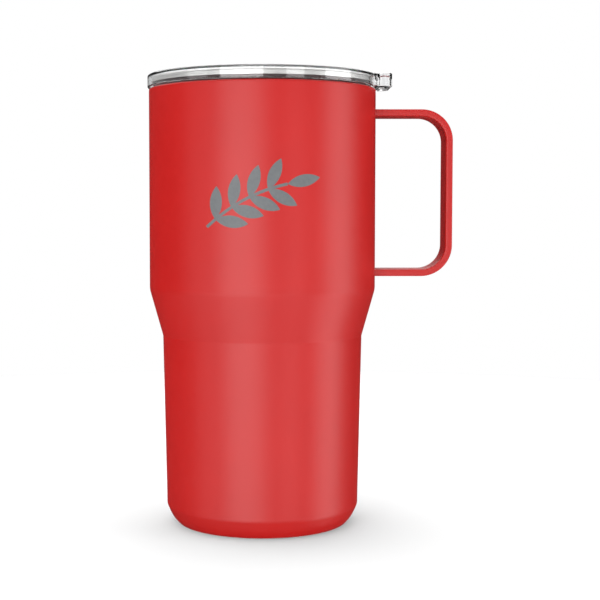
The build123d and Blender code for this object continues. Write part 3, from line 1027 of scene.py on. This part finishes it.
def make_slider_seal(pad, pad_hole):
    """The soft ring that lies around the drinking opening."""
    seal = slab("slider_seal_silicone", pad, PAD_LOW_Z, PAD_TOP_Z, PAD_EDGE, 0)
    combine(seal, block("hole", pad_hole, PAD_LOW_Z - MARGIN, PAD_TOP_Z + MARGIN), "DIFFERENCE")
    crisp(seal)
    place(seal, "slider", SILICONE, "slider_seal")


def make_slider_shell(outline):
    """The upper half: a hollow cap with a grip bar across it."""
    shell = slab("slider_shell_smoke", outline, SLIDER_SPLIT_Z, SLIDER_TOP_Z, 0, SLIDER_EDGE)
    bar = rounded_box(GRIP_L, GRIP_W, GRIP_CORNER, GRIP_X)
    combine(shell, slab("grip", bar, SLIDER_TOP_Z - OVERLAP, GRIP_TOP_Z, 0, GRIP_EDGE), "UNION")
    cavity = block("cavity", inset(outline, SLIDER_WALL), SLIDER_SPLIT_Z - MARGIN, CAVITY_TOP_Z)
    combine(shell, cavity, "DIFFERENCE")
    crisp(shell)
    place(shell, "slider", SMOKE, "slider_shell")


def make_slider():
    outline = slider_outline()
    pad = rounded_box(PAD_L, PAD_W, PAD_CORNER, SIP_X)
    pad_hole = inset(pad, PAD_BAND)
    make_slider_base(outline, pad, pad_hole)
    make_slider_seal(pad, pad_hole)
    make_slider_shell(outline)
    disc = magnet("slider_magnet_plated", MAGNETS["closed"], SLIDER_POCKET_Z + POCKET_PLAY)
    place(disc, "slider", NICKEL, "slider_magnet")


# ================================================================ floor, light and camera
def make_stage():
    """A round pale floor. It isn't mirrored in the mug, and doesn't block the lights that reach below it."""
    made, shader = material("pale_floor", Roughness=0.9, Specular_IOR_Level=0.1)
    here = place_scaled(made, (1, 1, 1))
    colour = blend_colours(made, noise(made, here, 3.0), (0.80, 0.80, 0.80), (0.82, 0.82, 0.82))
    feed(made, shader, Base_Color=colour)
    bm = bmesh.new()
    bmesh.ops.create_circle(bm, cap_ends=True, radius=FLOOR_R, segments=96)
    floor = mesh_object("floor", bm)
    floor.data.materials.append(made)
    floor.visible_glossy = False
    floor.visible_shadow = False


def softbox(name, azimuth, height, distance, size, radiance):
    """An area light aimed at the mug. Azimuth is in degrees: 0 is the camera's side, 90 is its right."""
    turn = math.radians(azimuth)
    at = Vector((distance * math.sin(turn), -distance * math.cos(turn), height))
    data = bpy.data.lights.new(name, "AREA")
    data.shape = "RECTANGLE"
    data.size, data.size_y = size
    data.energy = radiance * math.pi * size[0] * size[1]
    lamp = bpy.data.objects.new(name, data)
    lamp.location = at
    lamp.rotation_euler = (Vector((0, 0, LIT_HEIGHT)) - at).to_track_quat("-Z", "Y").to_euler()
    bpy.context.scene.collection.objects.link(lamp)


def make_world():
    """White where it is seen directly. Through clear plastic it is white near the horizon and grey high
    up and low down, which draws the plastic's edges. Where it only adds light it is dim."""
    world = bpy.data.worlds.new("studio")
    world.use_nodes = True
    seen = node(world, "ShaderNodeLightPath").outputs
    direction = node(world, "ShaderNodeTexCoord").outputs["Generated"]
    up = node(world, "ShaderNodeSeparateXYZ", {"Vector": direction}).outputs["Z"]
    steepness = node(world, "ShaderNodeMath", {0: up}, operation="ABSOLUTE").outputs["Value"]
    through = spread(world, steepness, 1.0, STEEP_GREY, STEEP_START, STEEP_END)
    other = node(world, "ShaderNodeMix", {"Factor": seen["Is Transmission Ray"], "A": AMBIENT, "B": through})
    unseen = other.outputs["Result"]
    strength = node(world, "ShaderNodeMix", {"Factor": seen["Is Camera Ray"], "A": unseen, "B": 1.0})
    background = world.node_tree.nodes["Background"]
    background.inputs["Color"].default_value = (1, 1, 1, 1)
    world.node_tree.links.new(strength.outputs["Result"], background.inputs["Strength"])
    bpy.context.scene.world = world


def make_light():
    """Four tall softboxes around the mug, for its upright highlights, and a large one over it."""
    softbox("front", azimuth=-20, height=-0.10, distance=1.1, size=(0.90, 1.3), radiance=3.65)
    softbox("middle", azimuth=32, height=-0.10, distance=1.2, size=(0.40, 1.3), radiance=2.2)
    softbox("right", azimuth=80, height=-0.10, distance=1.0, size=(0.62, 1.3), radiance=3.1)
    softbox("left", azimuth=-66, height=-0.10, distance=1.2, size=(0.50, 1.3), radiance=1.1)
    softbox("above", azimuth=-158, height=1.6, distance=0.43, size=(3.8, 3.8), radiance=2.35)


def make_camera():
    data = bpy.data.cameras.new("camera")
    data.lens = CAMERA_LENS
    data.sensor_width = SENSOR_W
    data.shift_x = CAMERA_SHIFT
    data.clip_start = 0.01
    camera = bpy.data.objects.new("camera", data)
    camera.location = CAMERA_AT
    camera.rotation_euler = (math.radians(90 - CAMERA_PITCH), 0, 0)
    bpy.context.scene.collection.objects.link(camera)
    bpy.context.scene.camera = camera


make_outer_shell()
make_inner_vessel()
make_base_cup()
make_base_cover()
make_handle()
make_mark()
make_vacuum_parts()
make_lid_body()
make_lid_gasket()
make_lid_magnets()
make_slider()
make_stage()
make_world()
make_light()
make_camera()
bpy.context.scene.view_settings.view_transform = "Standard"
